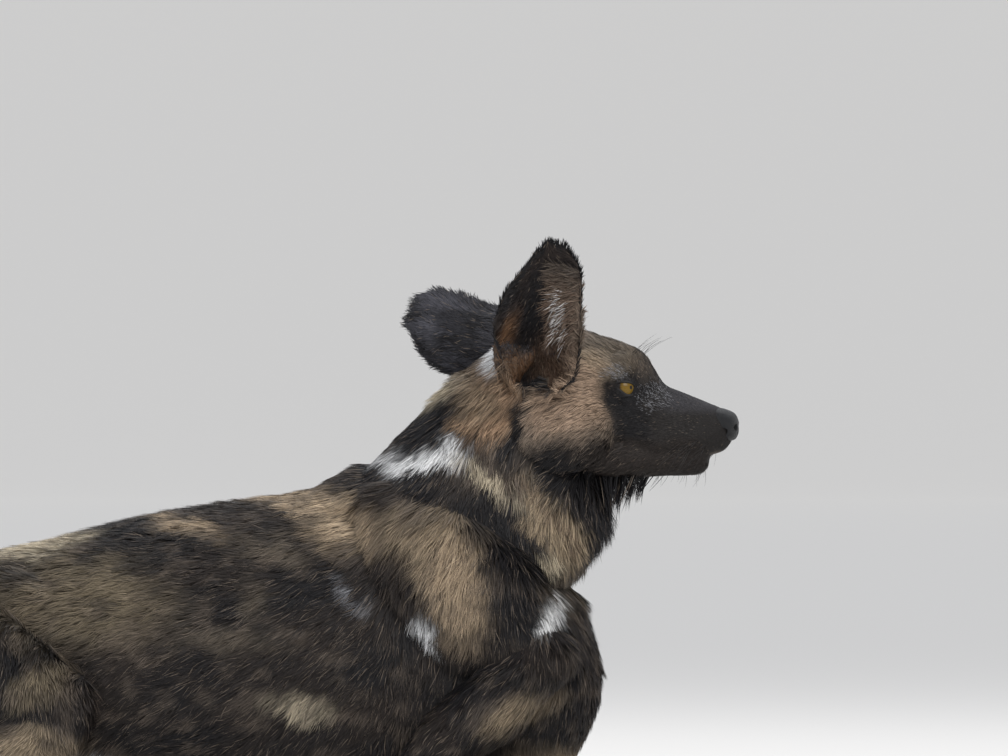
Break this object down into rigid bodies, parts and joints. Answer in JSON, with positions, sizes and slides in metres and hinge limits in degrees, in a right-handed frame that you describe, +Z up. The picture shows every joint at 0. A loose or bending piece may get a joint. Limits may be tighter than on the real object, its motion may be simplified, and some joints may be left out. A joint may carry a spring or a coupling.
{
  "type": "african wild dog figure",
  "caption": "Life-size still figure of an African wild dog lying on its chest, head raised in profile, one rounded ear upright and the other swept back.",
  "frame": {"origin": "on the ground, under the middle of the whole animal's box", "axes": "+X along the trunk towards the nose, +Y to the dog's left, +Z up"},
  "size_m": [1.1332, 0.4012, 0.5398],
  "materials": {
    "coat": "short coarse tan hair",
    "dark_coat": "short coarse black-brown hair",
    "pale_coat": "short off-white hair",
    "nose_pad": "pebbled, slightly moist dark skin",
    "eye": "clear gloss over an amber iris"
  },
  "bodies": {
    "root": {"head": "coat", "jaw": "dark_coat", "nose": "nose_pad", "neck": "coat", "chest": "dark_coat", "loin": "dark_coat", "eye_right": "eye", "eye_left": "eye", "ear_right": "dark_coat", "ear_left": "dark_coat", "foreleg_right_upper": "dark_coat", "foreleg_left_upper": "dark_coat", "foreleg_right_lower": "dark_coat", "foreleg_left_lower": "dark_coat", "forepaw_right": "pale_coat", "forepaw_left": "pale_coat", "hindleg_right_upper": "dark_coat", "hindleg_left_upper": "dark_coat", "hindleg_right_lower": "coat", "hindleg_left_lower": "coat", "hindpaw_right": "pale_coat", "hindpaw_left": "pale_coat", "tail_root": "coat", "tail_brush": "pale_coat"}
  },
  "joints": []
}
